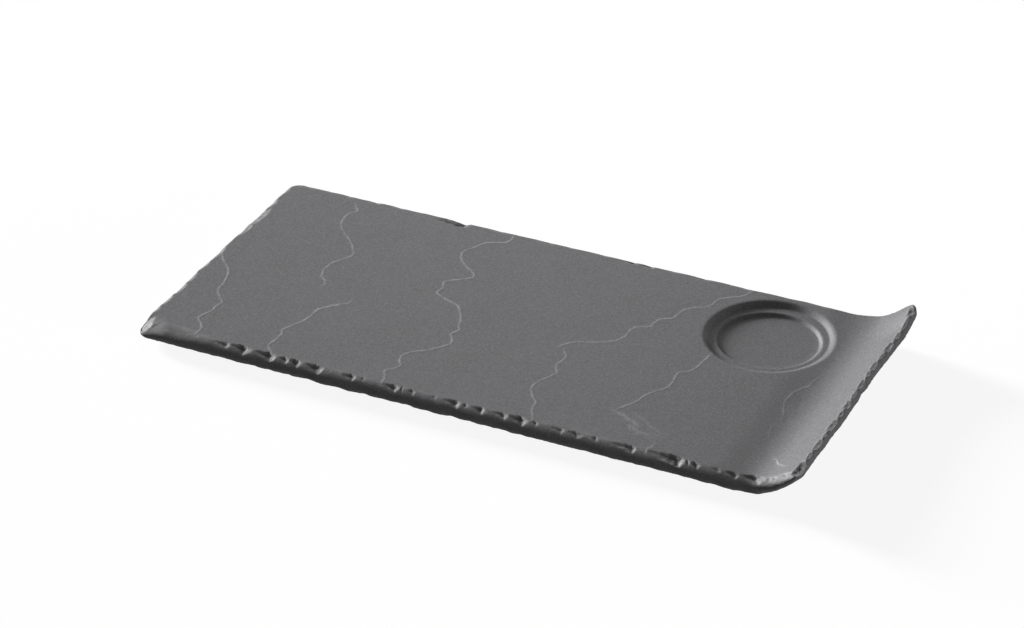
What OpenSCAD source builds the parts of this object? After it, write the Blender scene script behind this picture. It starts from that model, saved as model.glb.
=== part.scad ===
// Serving board of dark stoneware, cast to look like split slate.
// It lies along X with its upturned lip at +X and its cup well towards +Y.
// Its four soft feet stand on z = 0, and the origin is below the middle of the board.

/* [Board] */
// Overall length, from the plain end to the tip of the lip
board_l = 300; // [260:1:360]
// Overall width
board_w = 140; // [120:1:180]
// Thickness of the flat part
board_t = 7.5; // [7:0.5:12]
// Radius of the corners, seen from above
corner_r = 4; // [2:0.5:10]
// Bevel along the bottom edges
base_bevel = 1.2; // [0.6:0.1:2]

/* [Lip] */
// Radius of the lip's curve, on its top face
lip_r = 42; // [36:1:60]
// Angle through which the lip turns up
lip_angle = 42; // [25:1:48]
// Thickness of the lip at its tip
lip_tip_t = 3.5; // [3:0.5:6]

/* [Cup well] */
// Diameter of the well at the top face
well_d = 57; // [54:0.5:62]
// Diameter of the ledge, where the upper slope ends
ledge_d = 51; // [48:0.5:53]
// Diameter of the ledge's inner edge, where the lower slope starts
recess_d = 45; // [43:0.5:47]
// Diameter of the floor that a cup stands on
floor_d = 41; // [36:0.5:42]
// Depth of the ledge below the top face
ledge_depth = 1.7; // [1:0.1:2.2]
// Depth of the floor below the top face
floor_depth = 3.2; // [2.6:0.1:4]
// Distance from the well's centre to the back edge
well_to_back = 33.2; // [31:0.1:60]
// Distance from the well's centre to the start of the lip
well_to_lip = 24.2; // [22:0.1:60]

/* [Flaked edge] */
// Spacing of the flake scars along the edge
flake_pitch = 9; // [7:0.5:14]
// How far the largest scar bites into the top face
flake_bite = 2.2; // [1:0.1:3]
// How far the largest scar runs down the side
flake_drop = 4.4; // [2:0.1:5]
// Radius of a scar's hollow
flake_r = 8; // [6:0.5:12]
// Depth of the shallowest scar, as a share of the deepest
flake_least = 0.4; // [0.3:0.05:0.9]
// Depth of the scars on the back edge, which is worn smoother, as a share of the front ones
flake_back = 0.5; // [0.4:0.05:1]
// Depth of the scars on the thin tip of the lip, as a share of the front ones
flake_tip = 0.45; // [0.3:0.05:0.6]
// Number that sets the pattern of the scars
flake_seed = 11; // [1:1:99]

/* [Feet] */
// Diameter of a foot
foot_d = 12.4; // [11:0.1:16]
// Diameter of the face that a foot stands on
foot_base_d = 9; // [6:0.1:10.5]
// Height of a foot
foot_h = 2.5; // [2:0.1:5]
// Height of the rounded shoulder at the bottom of a foot
foot_shoulder = 1.4; // [0.8:0.1:1.8]
// Thickness of the adhesive disc above a foot
adhesive_t = 0.3; // [0.1:0.05:0.5]
// Depth of the pocket that seats a foot
pocket_depth = 0.8; // [0.6:0.1:1.4]
// Clearance around a foot in its pocket
pocket_gap = 0.3; // [0.1:0.05:0.6]
// Distance from the plain end to the left feet
foot_to_end = 42; // [20:1:70]
// Distance from the start of the lip to the right feet
foot_to_lip = 12; // [9:1:40]
// Distance from the board's sides to the feet
foot_to_side = 22; // [14:1:40]

/* [Hidden] */
$fn = 48;

// Steps that round off a corner, a slope of the well or a foot's shoulder
round_steps = 6;
// How far a cut runs past the face that it opens
past = 1;

// Where the lip starts, so that the lower corner of its tip ends the overall length
lip_x = board_l / 2 - (lip_r + lip_tip_t) * sin(lip_angle);
// Length of the lip along its top face
lip_run = lip_r * lip_angle * PI / 180;
underside_z = foot_h + adhesive_t - pocket_depth;
top_z = underside_z + board_t;
// From the lip's start on the underside to the lower corner of the tip
tip_reach = (lip_r + lip_tip_t) * sin(lip_angle);
tip_rise = board_t + lip_r - (lip_r + lip_tip_t) * cos(lip_angle);
// Radius of the lip's underside, which leaves the flat smoothly and ends at the tip
lip_under_r = (tip_reach * tip_reach + tip_rise * tip_rise) / (2 * tip_rise);

well_x = lip_x - well_to_lip;
well_y = board_w / 2 - well_to_back;

foot_left_x = foot_to_end - board_l / 2;
foot_right_x = lip_x - foot_to_lip;
foot_y = board_w / 2 - foot_to_side;

// Outline of the board from above, with round corners
module plan_outline() {
    corner_x = board_l / 2 - corner_r;
    corner_y = board_w / 2 - corner_r;
    centres = [[corner_x, corner_y], [-corner_x, corner_y], [-corner_x, -corner_y], [corner_x, -corner_y]];
    polygon([
        for (quarter = [0:3])
            for (step = [0:round_steps])
                let (angle = 90 * (quarter + step / round_steps))
                    centres[quarter] + corner_r * [cos(angle), sin(angle)]
    ]);
}

// Section through the length of the board: the flat, then the lip between its two arcs
module side_profile() {
    lip_centre = [lip_x, top_z + lip_r];
    below = lip_r + 2 * board_t;
    polygon([
        [lip_x, top_z], [-board_l / 2, top_z], [-board_l / 2, underside_z + base_bevel],
        [base_bevel - board_l / 2, underside_z], [lip_x, underside_z]
    ]);
    difference() {
        intersection() {
            translate([lip_x, underside_z + lip_under_r])
                circle(lip_under_r);
            polygon([lip_centre, lip_centre - [0, below], lip_centre + below * [tan(lip_angle), -1]]);
        }
        translate(lip_centre)
            circle(lip_r);
    }
}

// Section across the width, with bevelled bottom edges, as high as the lip could reach
module cross_profile() {
    half_w = board_w / 2;
    height = top_z + lip_r;
    polygon([
        [-half_w, height], [-half_w, underside_z + base_bevel], [base_bevel - half_w, underside_z],
        [half_w - base_bevel, underside_z], [half_w, underside_z + base_bevel], [half_w, height]
    ]);
}

// The casting before its edge is flaked
module blank() {
    intersection() {
        rotate([90, 0, 0])
            linear_extrude(board_w, center = true)
                side_profile();
        rotate([90, 0, 90])
            linear_extrude(board_l, center = true)
                cross_profile();
        linear_extrude(top_z + lip_r)
            plan_outline();
    }
}

// A soft slope of the well, from one radius and depth to a smaller and deeper one
function slope(r_out, depth_out, r_in, depth_in) = [
    for (step = [0:round_steps])
        let (share = step / round_steps)
            [r_out + (r_in - r_out) * share, -depth_out - (depth_in - depth_out) * (1 - cos(180 * share)) / 2]
];

// The cut for the cup well: a slope to the ledge, and another to the floor
module cup_well_cut() {
    upper = slope(well_d / 2, 0, ledge_d / 2, ledge_depth);
    lower = slope(recess_d / 2, ledge_depth, floor_d / 2, floor_depth);
    // The first step of the slope runs on upwards, to meet the rising start of the lip
    rim = upper[0] + (upper[0] - upper[1]);
    translate([well_x, well_y, top_z])
        rotate_extrude($fn = 96)
            polygon(concat([[0, past], [rim.x, past], rim], upper, lower, [[0, -floor_depth]]));
}

// One flake scar: a ball that takes off the edge between the top, at z = 0, and a side, at x = 0
module flake(share) {
    bite = flake_bite * share;
    drop = flake_drop * share;
    chord = norm([bite, drop]);
    reach = sqrt(flake_r * flake_r - chord * chord / 4) / chord;
    translate([reach * drop - bite / 2, 0, reach * bite - drop / 2])
        sphere(flake_r);
}

// Moves what follows to the top face, at a distance along it from the middle of the board
module along_top(run) {
    if (run <= lip_x)
        translate([run, 0, top_z])
            children();
    else
        translate([lip_x, 0, top_z + lip_r])
            rotate([0, -(run - lip_x) / lip_r * 180 / PI, 0])
                translate([0, 0, -lip_r])
                    children();
}

// Places of the scars between two ends of an edge, each moved a little from an even spacing
function flake_places(from, to, seed) =
    let (count = floor((to - from) / flake_pitch), pitch = (to - from) / count)
    let (shift = rands(-pitch / 4, pitch / 4, count, flake_seed + seed))
        [for (i = [0:count - 1]) from + pitch * (i + 0.5) + shift[i]];

function flake_shares(places, seed) = rands(flake_least, 1, len(places), flake_seed + seed);

module flaked_edges() {
    lip_end = lip_x + lip_run;
    for (side = [-1, 1]) {
        places = flake_places(-board_l / 2, lip_end, side);
        shares = flake_shares(places, 3 * side);
        for (i = [0:len(places) - 1])
            along_top(places[i])
                translate([0, side * board_w / 2, 0])
                    rotate([0, 0, side * 90])
                        flake(shares[i] * (side > 0 ? flake_back : places[i] > lip_x ? flake_tip : 1));
    }
    end_places = flake_places(-board_w / 2, board_w / 2, 5);
    end_shares = flake_shares(end_places, 7);
    for (i = [0:len(end_places) - 1]) {
        along_top(-board_l / 2)
            translate([0, end_places[i], 0])
                rotate([0, 0, 180])
                    flake(end_shares[i]);
        along_top(lip_end)
            translate([0, end_places[i], 0])
                flake(end_shares[i] * flake_tip);
    }
}

// Moves what follows to a foot's place: -1 or 1 for left or right, and for front or back
module at_foot(along, across) {
    translate([along < 0 ? foot_left_x : foot_right_x, across * foot_y, 0])
        children();
}

module board() {
    color([0.42, 0.42, 0.43])
        difference() {
            blank();
            cup_well_cut();
            flaked_edges();
            for (along = [-1, 1])
                for (across = [-1, 1])
                    at_foot(along, across)
                        translate([0, 0, underside_z - past])
                            cylinder(d = foot_d + 2 * pocket_gap, h = pocket_depth + past);
        }
}

// A soft foot: a disc with a rounded shoulder above its standing face
module foot(along, across) {
    shoulder_w = (foot_d - foot_base_d) / 2;
    shoulder = [
        for (step = [0:round_steps])
            let (angle = 90 * step / round_steps)
                [foot_base_d / 2 + shoulder_w * sin(angle), foot_shoulder * (1 - cos(angle))]
    ];
    color([0.12, 0.12, 0.13])
        at_foot(along, across)
            rotate_extrude()
                polygon(concat([[0, 0]], shoulder, [[foot_d / 2, foot_h], [0, foot_h]]));
}

// The disc of adhesive film that holds a foot in its pocket
module adhesive(along, across) {
    color([0.85, 0.85, 0.82])
        at_foot(along, across)
            translate([0, 0, foot_h])
                cylinder(d = foot_d, h = adhesive_t);
}

board();
foot(-1, -1);  // foot_front_left
foot(1, -1);  // foot_front_right
foot(-1, 1);  // foot_back_left
foot(1, 1);  // foot_back_right
adhesive(-1, -1);  // adhesive_front_left
adhesive(1, -1);  // adhesive_front_right
adhesive(-1, 1);  // adhesive_back_left
adhesive(1, 1);  // adhesive_back_right
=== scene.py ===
import math
import random

import bmesh
import bpy
import numpy as np
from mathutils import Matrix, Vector
from mathutils.geometry import delaunay_2d_cdt


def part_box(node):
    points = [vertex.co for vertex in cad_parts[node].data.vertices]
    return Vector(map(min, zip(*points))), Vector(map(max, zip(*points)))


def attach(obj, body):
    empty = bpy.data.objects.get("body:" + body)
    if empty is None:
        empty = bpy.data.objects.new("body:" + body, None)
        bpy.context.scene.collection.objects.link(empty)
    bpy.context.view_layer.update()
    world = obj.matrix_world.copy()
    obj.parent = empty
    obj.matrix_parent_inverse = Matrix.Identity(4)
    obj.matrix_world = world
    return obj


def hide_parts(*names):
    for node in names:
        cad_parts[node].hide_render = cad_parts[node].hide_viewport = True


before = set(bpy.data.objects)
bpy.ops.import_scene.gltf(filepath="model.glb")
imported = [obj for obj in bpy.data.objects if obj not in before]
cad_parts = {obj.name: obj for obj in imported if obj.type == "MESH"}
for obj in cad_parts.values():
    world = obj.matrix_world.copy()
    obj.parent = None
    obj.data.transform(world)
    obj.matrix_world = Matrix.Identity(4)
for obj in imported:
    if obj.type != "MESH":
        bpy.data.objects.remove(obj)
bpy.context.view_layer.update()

# The board
# One casting of dark matt stoneware, from a mould that was taken off a flaked slab of slate.
# Its edge is a run of flake scars, thin pale layer lines cross its top, and its right end turns up.
# It is drawn flat first, with the lip unrolled, and then struck, roughened and turned up.
mm = 0.001
board_low, board_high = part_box("board")
board_t = 7.5 * mm
top_z = board_low.z + board_t
left_proud = 1.0 * mm
front_short = 0.4 * mm
left = board_low.x - left_proud
front = board_low.y + front_short
back = board_high.y
lip_r = 42 * mm
lip_angle = math.radians(42)
lip_tip_t = 3.5 * mm
lip_x = board_high.x - (lip_r + lip_tip_t) * math.sin(lip_angle)

# The lip's slope along the unrolled top, in millimetres and degrees: a slight sag, then a quick turn up
lip_slopes = [
    (110, 0), (114, -2.2), (118, -3), (121, -3), (124, -1.5), (126, 1.5), (128, 6), (130, 10.5),
    (133, 16.5), (136, 21.5), (139, 26), (142, 29.5), (145, 32.5), (148, 35), (153, 38),
]
lip_step = 0.25 * mm
slope_runs = np.array([run for run, slope in lip_slopes]) * mm
slope_turns = np.radians([slope for run, slope in lip_slopes])
lip_runs = np.arange(slope_runs[0], slope_runs[-1], lip_step)
lip_turns = np.interp(lip_runs, slope_runs, slope_turns)
lip_xs = slope_runs[0] + np.cumsum(np.cos(lip_turns)) * lip_step
lip_zs = np.cumsum(np.sin(lip_turns)) * lip_step
tip = np.interp(board_high.x, lip_xs + lip_tip_t * np.sin(lip_turns), lip_runs)

# The underside of the lip is an arc of its own, so that the lip thins towards its tip
tip_reach = (lip_r + lip_tip_t) * math.sin(lip_angle)
tip_rise = board_t + lip_r - (lip_r + lip_tip_t) * math.cos(lip_angle)
lip_under_r = (tip_reach ** 2 + tip_rise ** 2) / (2 * tip_rise)
lip_centres_apart = board_t + lip_r - lip_under_r


def thickness(run):
    """Thickness of the board at a distance along its unrolled top."""
    turn = lip_angle * np.clip((np.asarray(run) - lip_x) / (tip - lip_x), 0, None)
    under = np.sqrt(lip_under_r ** 2 - (lip_centres_apart * np.sin(turn)) ** 2)
    return lip_centres_apart * np.cos(turn) + under - lip_r


# The rim is a strip of rows round the outline: over the shoulder from the top, and under to the base.
# Its front is broad and round, and its other sides are steeper
corner_radii = [radius * mm for radius in (4.2, 6.2, 6.0, 4.5)]
station_step = 0.45 * mm
corner_steps = 12
rim_w = 8.4 * mm
rim_least_r = 0.5 * mm
top_rows = 22
base_rows = 11
under_rows = 2
row_crowding = 1.8


def outline(inset):
    """Points round the unrolled board, drawn in by an inset, and the way that each one faces."""
    radii = [max(radius - inset, rim_least_r) for radius in corner_radii]
    low_x, high_x = left + inset, tip - inset
    low_y, high_y = front + inset, back - inset
    corners = [(high_x, low_y), (high_x, high_y), (low_x, high_y), (low_x, low_y)]
    leans = [(-1, 1), (-1, -1), (1, -1), (1, 1)]
    centres = [np.array(place) + np.array(lean) * radius
               for place, lean, radius in zip(corners, leans, radii)]
    run_steps = [round((back - front) / station_step), round((tip - left) / station_step)] * 2
    points, angles = [], []
    for corner in range(4):
        onward = (corner + 1) % 4
        for step in range(corner_steps):
            angle = math.pi / 2 * (corner - 1 + step / corner_steps)
            out = np.array((math.cos(angle), math.sin(angle)))
            points.append(centres[corner] + radii[corner] * out)
            angles.append(angle)
        angle = math.pi / 2 * corner
        out = np.array((math.cos(angle), math.sin(angle)))
        start = centres[corner] + radii[corner] * out
        end = centres[onward] + radii[onward] * out
        steps = run_steps[corner]
        points += [start + (end - start) * step / steps for step in range(steps)]
        angles += [angle] * steps
    return np.array(points), np.array(angles)


# The cup well has two soft steps, and its rim comes close to the back edge. The rim is rounded off most
# at its far left, and the wall spreads wider towards the front
well_x = lip_x - 24.2 * mm
well_y = back - 33.2 * mm
well_rim_r = 31.2 * mm
ledge_r = 25.2 * mm
recess_r = 22.8 * mm
floor_r = 20.6 * mm
wall_w = 3.2 * mm
wall_bow = 0.75
rounding_w = 4.4 * mm
ledge_depth = 2.2 * mm
floor_depth = 3.55 * mm
well_clear = 0.3 * mm
rim_drop_share = 0.22
rim_drop_turn = math.radians(150)
back_reach = 1.4 * mm
lip_reach = -0.4 * mm
near_spread = 2.0 * mm
lip_spread = 0.3 * mm
lip_spread_turn = math.radians(20)
lip_way = 0
back_way = math.pi / 2
front_way = -math.pi / 2


def soft_step(share):
    """A smooth rise from 0 to 1."""
    return np.sin(math.pi / 2 * np.clip(share, 0, 1)) ** 2


def towards(angles, way):
    """How squarely each angle points one way: 1 along it, and 0 from a right angle on."""
    return np.clip(np.cos(angles - way), 0, 1) ** 2


def well_depth(radius, angles):
    """Depth of the well below the top at a radius, all the way round."""
    wall_foot = ledge_r + back_reach * towards(angles, back_way) + lip_reach * towards(angles, lip_way)
    drop = ledge_depth * rim_drop_share * (1 + np.cos(angles - rim_drop_turn)) / 2
    rounding = drop * soft_step((wall_foot + rounding_w - radius) / rounding_w)
    spread = wall_w + near_spread * towards(angles, front_way)
    spread = spread + lip_spread * towards(angles, lip_spread_turn)
    run_out = np.clip((radius - wall_foot) / spread, 0, 1) ** wall_bow
    wall = (ledge_depth - drop) * soft_step(1 - run_out)
    lower = (floor_depth - ledge_depth) * soft_step((recess_r - radius) / (recess_r - floor_r))
    return rounding + wall + lower


def rim_width(points):
    """Width of the rim strip on the top, which narrows to pass behind the well."""
    beside = np.abs(points[:, 0] - well_x)
    reach = well_rim_r + well_clear
    behind = back - well_y
    room = behind - np.sqrt(np.clip(reach ** 2 - beside ** 2, 0, None)) - well_clear
    return np.where(points[:, 1] > well_y, np.minimum(rim_w, room), rim_w)


def grow(values, start, end):
    """A soft rise from 0 at a start to 1 at an end."""
    return soft_step((values - start) / (end - start))


def near(points, place, reach):
    """1 at a place, falling softly to 0 at a reach from it."""
    return soft_step(1 - np.hypot(points[:, 0] - place[0], points[:, 1] - place[1]) / reach)


outer, facing = outline(0)
inward = (outline(rim_w)[0] - outer) / rim_w
stations = len(outer)


def by_side(plain, front_more, tip_more):
    """A size round the edge, in millimetres, which differs along the front and at the lip's tip."""
    return (plain + front_more * towards(facing, front_way) + tip_more * towards(facing, lip_way)) * mm


# The front's shoulder broadens towards its left end, and two corners are rounder below
shoulder_in = by_side(1.2, 3.8, -0.4)
shoulder_down = by_side(3.0, 0.75, -1.6)
base_in = by_side(1.8, 3.7, -0.6)
end_broader = 3.1 * mm
shoulder_in += end_broader * towards(facing, front_way) * grow(outer[:, 0], -116 * mm, -138 * mm)
corner_rounder = 2.0 * mm
for corner in ((tip, back), (left, front)):
    base_in += corner_rounder * near(outer, corner, reach=9 * mm)
top_width = np.full(stations, rim_w)
settling_rounds = 12
for _ in range(settling_rounds):
    top_width = rim_width(outer + inward * top_width[:, None])
rim = []
for row in range(top_rows, -1, -1):
    inset = top_width * (row / top_rows) ** row_crowding
    rounded = np.sqrt(1 - np.clip(1 - inset / shoulder_in, 0, 1) ** 2)
    rim.append((inset, shoulder_down * (1 - rounded)))
for row in range(1, base_rows + 1):
    angle = math.pi / 2 * row / base_rows
    above_base = (board_t - shoulder_down) * (1 - math.sin(angle))
    rim.append((base_in * (1 - math.cos(angle)), board_t - above_base))
for row in range(1, under_rows + 1):
    rim.append((base_in + (rim_w - base_in) * row / under_rows, np.full(stations, board_t)))

# Every point keeps the way inward, the way in from its edge, its inset from the edge, its depth below the
# top, how wide the shoulder beside it is, and how thin the board is there
verts, faces = [], []
point_values = {name: [] for name in ("inward", "edge_way", "inset", "depth", "shelf", "thin")}


def add_points(points, **values):
    """Adds points, with what each of them keeps."""
    verts.append(points)
    for name, value in values.items():
        point_values[name].append(value)


def ring_faces(rings, steps):
    """Faces between closed rings of points that follow each other."""
    quads = []
    for low in range(0, (rings - 1) * steps, steps):
        for step in range(steps):
            onward = (step + 1) % steps
            quads.append((low + step, low + steps + step, low + steps + onward, low + onward))
    return quads


def add_patch(points, patch_faces, depth=0.0):
    """Adds a patch that no scar reaches."""
    count = sum(len(part) for part in verts)
    no_way = np.zeros((len(points), 3))
    level = np.zeros(len(points))
    add_points(points, inward=no_way, edge_way=no_way, inset=level + rim_w, depth=level + depth,
               shelf=level + mm, thin=level + 1)
    faces.extend([tuple(count + corner for corner in face) for face in patch_faces])


inward_ways = np.column_stack((inward, np.zeros(stations)))
edge_ways = -np.column_stack((np.cos(facing), np.sin(facing), np.zeros(stations)))
for inset, depth in rim:
    row = outer + inward * inset[:, None]
    thin = thickness(row[:, 0]) / board_t
    add_points(np.column_stack((row, -depth * thin)), inward=inward_ways, edge_way=edge_ways,
               inset=inset, depth=depth, shelf=shoulder_in, thin=thin)
faces += ring_faces(len(rim), stations)

# Layer lines on the top: how strongly each one shows, how wide it spreads, and points given along it, in
# millimetres along and across the unrolled top
layer_lines = [
    (1.0, 0.34, [
        (-150, 3.5), (-148, -1.5), (-144, -6.5), (-140, -10.5), (-137, -15.5), (-135.5, -21.5),
        (-134.5, -26.5), (-133.5, -30.5), (-131, -33.5), (-128, -37), (-127.5, -38.5), (-128.5, -41.5),
        (-128, -44.5), (-129, -47.5), (-130, -50.5), (-130, -53.5), (-127, -56.5), (-125, -59.5),
        (-125, -63.5), (-124, -70.5),
    ]),
    (0.9, 0.34, [
        (-117, 65.5), (-113.5, 60.5), (-112, 57.5), (-114, 54.5), (-114.5, 50.5), (-113.5, 46.5),
        (-111, 41.5), (-107.5, 37.5), (-101.5, 32), (-97.5, 26.5), (-95.5, 22.5), (-97.5, 17.5),
        (-100.5, 12), (-101, 7.5), (-100, 1.5), (-96.5, -2.5), (-95, -5), (-96, -9.5),
    ]),
    (1.0, 0.36, [
        (-78, -10.5), (-78, -15.5), (-81.5, -18), (-84.5, -21.5), (-87.5, -25.5), (-87.5, -30.5),
        (-88.5, -35.5), (-90.5, -40.5), (-93, -45.5), (-92.5, -48.5), (-91.5, -52.5), (-92.5, -57.5),
        (-91.5, -61.5), (-88.5, -64.5), (-84, -70.5),
    ]),
    (1.0, 0.34, [
        (-38.5, 73.5), (-38.5, 62.5), (-41, 60), (-45, 58), (-48, 55.5), (-49.5, 51.5), (-52.5, 46.5),
        (-52, 42.5), (-50, 38.5), (-46, 34.5), (-41, 31), (-39, 27.5), (-42, 24.5), (-46, 21.5),
        (-48.5, 18.5), (-48, 16), (-47, 14), (-47.5, 10.5), (-47, 8.5), (-41, 5.5), (-35, 3),
        (-32, -0.5), (-29, -5.5), (-27, -11.5), (-25.5, -14.5), (-27, -19), (-25, -22.5), (-24, -26.5),
        (-26, -30), (-31, -35.5), (-35, -38.5), (-38, -43.5), (-37, -47.5), (-35, -50.5), (-37, -54.5),
        (-39, -57), (-37, -61.5), (-35, -70.5),
    ]),
    (0.85, 0.34, [
        (77, 72.5), (73, 62.5), (66.5, 57.5), (64.5, 54.5), (64, 50.5), (61.5, 47), (57.5, 44),
        (54.5, 41), (53.5, 35.5), (52.5, 32.5), (48.5, 29.5), (47, 25.5), (46.5, 22), (42.5, 20),
        (40.5, 16.5), (40, 10.5), (38.5, 6), (34.5, 2.5), (28.5, -0.5), (23.5, -2.5), (19.5, -6.5),
        (17, -11.5),
    ]),
    (0.85, 0.34, [
        (20.5, -9.5), (24.5, -15.5), (23.5, -21.5), (24.5, -25.5), (26, -28.5), (23.5, -34.5),
        (21.5, -38.5), (21.5, -43.5), (24.5, -48.5), (27.5, -52.5), (28.5, -57.5), (30.5, -61.5),
        (34, -70.5),
    ]),
    (0.8, 0.34, [
        (78.5, 15.5), (78, 10.5), (77, 1.5), (75.5, -3.5), (72, -6.5), (72, -12.5), (72, -18.5),
        (69, -23.5), (66, -28.5), (65, -33.5), (63, -37.5), (60, -42.5), (58.5, -45),
    ]),
    (0.55, 1.1, [(57.5, -44), (60, -45), (64.5, -46.5), (69, -49), (74, -51.5)]),
    (0.8, 0.36, [(68.5, -49.5), (69.5, -53), (70.5, -56)]),
    (0.4, 1.2, [(69, -50), (71.5, -53), (74, -54.5), (78, -55), (83, -56)]),
    (0.3, 0.7, [(76, -50.5), (80, -53), (85, -55.5)]),
    (0.25, 0.8, [(66, -42.5), (72, -45.5), (79, -50), (87, -53.5)]),
    (0.7, 0.34, [(82.5, -57.5), (83.5, -60.5), (82.5, -64.5), (83, -70.5)]),
    (0.6, 0.34, [
        (124.5, 15.5), (124, 7.5), (121.5, 3.5), (119.5, -2.5), (119.5, -8.5), (121, -13.5),
        (123, -20.5),
    ]),
    (0.3, 0.5, [(121.5, -24.5), (121.5, -30.5), (123, -36.5)]),
    (0.9, 0.34, [(129.5, -49.5), (132.5, -51.5), (134.5, -54.5), (137, -56.5), (141, -58.5)]),
]
line_step = 0.8 * mm
line_wander = 0.16 * mm
line_fade = 5 * mm
line_end_share = 0.1
spread_range = (0.75, 1.25)
line_offsets = [offset * mm for offset in (0, 0.3, -0.3, 0.7, -0.7, 1.3, -1.3)]
curve_steps = 12


def smooth_path(points, step):
    """Points at an even step along a soft curve through the given ones."""
    ends = [2 * points[0] - points[1], *points, 2 * points[-1] - points[-2]]
    fine = []
    for before, start, end, after in zip(ends, ends[1:], ends[2:], ends[3:]):
        for share in np.linspace(0, 1, curve_steps, endpoint=False):
            bend = (2 * before - 5 * start + 4 * end - after) * share ** 2
            twist = (3 * (start - end) + after - before) * share ** 3
            fine.append(start + ((end - before) * share + bend + twist) / 2)
    fine = np.array(fine + [points[-1]])
    run = np.concatenate(([0], np.cumsum(np.linalg.norm(np.diff(fine, axis=0), axis=1))))
    even = np.linspace(0, run[-1], max(2, round(run[-1] / step)))
    return np.column_stack((np.interp(even, run, fine[:, 0]), np.interp(even, run, fine[:, 1])))


line_chance = random.Random(4)
line_points, line_edges, line_strengths, line_spreads, line_strip = [], [], [], [], []
for strength, spread, picked in layer_lines:
    path = smooth_path(np.array(picked) * mm, line_step)
    path += np.array([[line_chance.gauss(0, line_wander) for _ in range(2)] for _ in path])
    along = np.gradient(path, axis=0)
    across = np.column_stack((-along[:, 1], along[:, 0])) / np.linalg.norm(along, axis=1)[:, None]
    line_strip += [path + across * offset for offset in line_offsets]
    first, count = len(line_points), len(path)
    line_points += [(run, over, 0) for run, over in path]
    line_edges += [(first + step, first + step + 1) for step in range(count - 1)]
    for step in range(count):
        to_end = min(step, count - 1 - step) * line_step
        line_strengths.append(strength * min(1, line_end_share + to_end / line_fade))
        line_spreads.append(spread * mm * line_chance.uniform(*spread_range))
line_strip = np.concatenate(line_strip)


def lattice(step, lip_gap):
    """Points spread over the unrolled board, closer along the lip."""
    points = []
    run, odd = left + step, 0
    while run < tip:
        overs = np.arange(front + step * (1 + odd / 2), back - step / 2, step)
        points += [(run, over) for over in overs]
        run += step if run < slope_runs[0] - step else lip_gap
        odd = 1 - odd
    return np.array(points)


def on_flat(points, clear):
    """The points that lie on the top inside the rim strip and outside the well, with room to spare."""
    width = rim_width(points) + clear
    along = (points[:, 0] > left + rim_w + clear) & (points[:, 0] < tip - rim_w - clear)
    across = (points[:, 1] > front + width) & (points[:, 1] < back - width)
    off_well = np.hypot(points[:, 0] - well_x, points[:, 1] - well_y) > well_rim_r + well_clear
    return points[along & across & off_well]


def apart(points, others, least):
    """The points that keep a least distance from the others."""
    return points[[np.min(np.hypot(*(others - point).T)) > least for point in points]]


def triangulate(loop, points, least_gap=1e-7):
    """Triangles over the points of a loop and the points inside it, with the middle of each one."""
    every = [Vector(point) for point in np.concatenate((loop, points))]
    rim_loop = [list(range(len(loop)))]
    flat, _, triangles, _, _, _ = delaunay_2d_cdt(every, [], rim_loop, 1, least_gap, False)
    flat = np.array([tuple(point) for point in flat])
    return flat, triangles, flat[np.array(triangles)].mean(axis=1)


# The flat of the top, close-meshed along the layer lines, graded beside the rim and the well, and open
# elsewhere
well_steps = 180
well_angles = 2 * math.pi * np.arange(well_steps) / well_steps
well_centre = np.array((well_x, well_y))
well_spokes = np.column_stack((np.cos(well_angles), np.sin(well_angles)))
graded_rows = [(0.9 * mm, 2), (2.2 * mm, 4)]
ring_gaps = (1.0 * mm, 2.2 * mm)
strip = on_flat(line_strip, clear=0.25 * mm)
graded = np.concatenate([outline(rim_w + gap)[0][::every] for gap, every in graded_rows])
graded = on_flat(graded, clear=0.6 * mm)
ringed = np.concatenate([well_centre + well_spokes * (well_rim_r + gap) for gap in ring_gaps])
ringed = on_flat(ringed, clear=0.4 * mm)
close = np.concatenate((strip, apart(np.concatenate((graded, ringed)), strip, least=0.6 * mm)))
spread_out = on_flat(lattice(step=3.2 * mm, lip_gap=1.6 * mm), clear=1.5 * mm)
spread_out = apart(spread_out, close, least=1.2 * mm)
well_edge = well_centre + well_spokes * well_rim_r
top_inner = np.concatenate((well_edge, close, spread_out))
top_points, top_faces, middles = triangulate(verts[0][:, :2], top_inner)
kept = middles[:, 1] < back - rim_width(middles)
kept &= np.hypot(*(middles - well_centre).T) > well_rim_r * math.cos(math.pi / well_steps)
add_patch(np.column_stack((top_points, np.zeros(len(top_points)))),
          [face for face, keep in zip(top_faces, kept) if keep])

# The well, in rings from its rim to the middle of its floor; its ledge and floor stay level where the
# top sags before the lip, and its walls are faintly rough
ledge_in_r = ledge_r - 0.6 * mm
hub_r = 1 * mm
well_bands = [(ledge_in_r, 26), (recess_r, 3), (floor_r, 9), (hub_r, 7)]
well_radii = [well_rim_r]
for band_r, rings in well_bands:
    well_radii += list(np.linspace(well_radii[-1], band_r, rings + 1)[1:])
well_chance = random.Random(9)
well_rough = 0.014 * mm
slope_reach = 0.3 * mm
well_rings = []
for radius in well_radii:
    ring = well_centre + well_spokes * radius
    depth = well_depth(radius, well_angles)
    sag = np.interp(ring[:, 0], lip_runs, lip_zs) * np.minimum(1, depth / ledge_depth)
    fall = well_depth(radius + slope_reach, well_angles) - well_depth(radius - slope_reach, well_angles)
    steep = np.clip(np.abs(fall) / slope_reach, 0, 1)
    crumbs = np.array([well_chance.gauss(0, well_rough) for _ in ring]) * steep
    well_rings.append(np.column_stack((ring, crumbs - depth - sag)))
well_floor = tuple((len(well_radii) - 1) * well_steps + step for step in range(well_steps))
add_patch(np.concatenate(well_rings), [well_floor, *ring_faces(len(well_radii), well_steps)])

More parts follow.
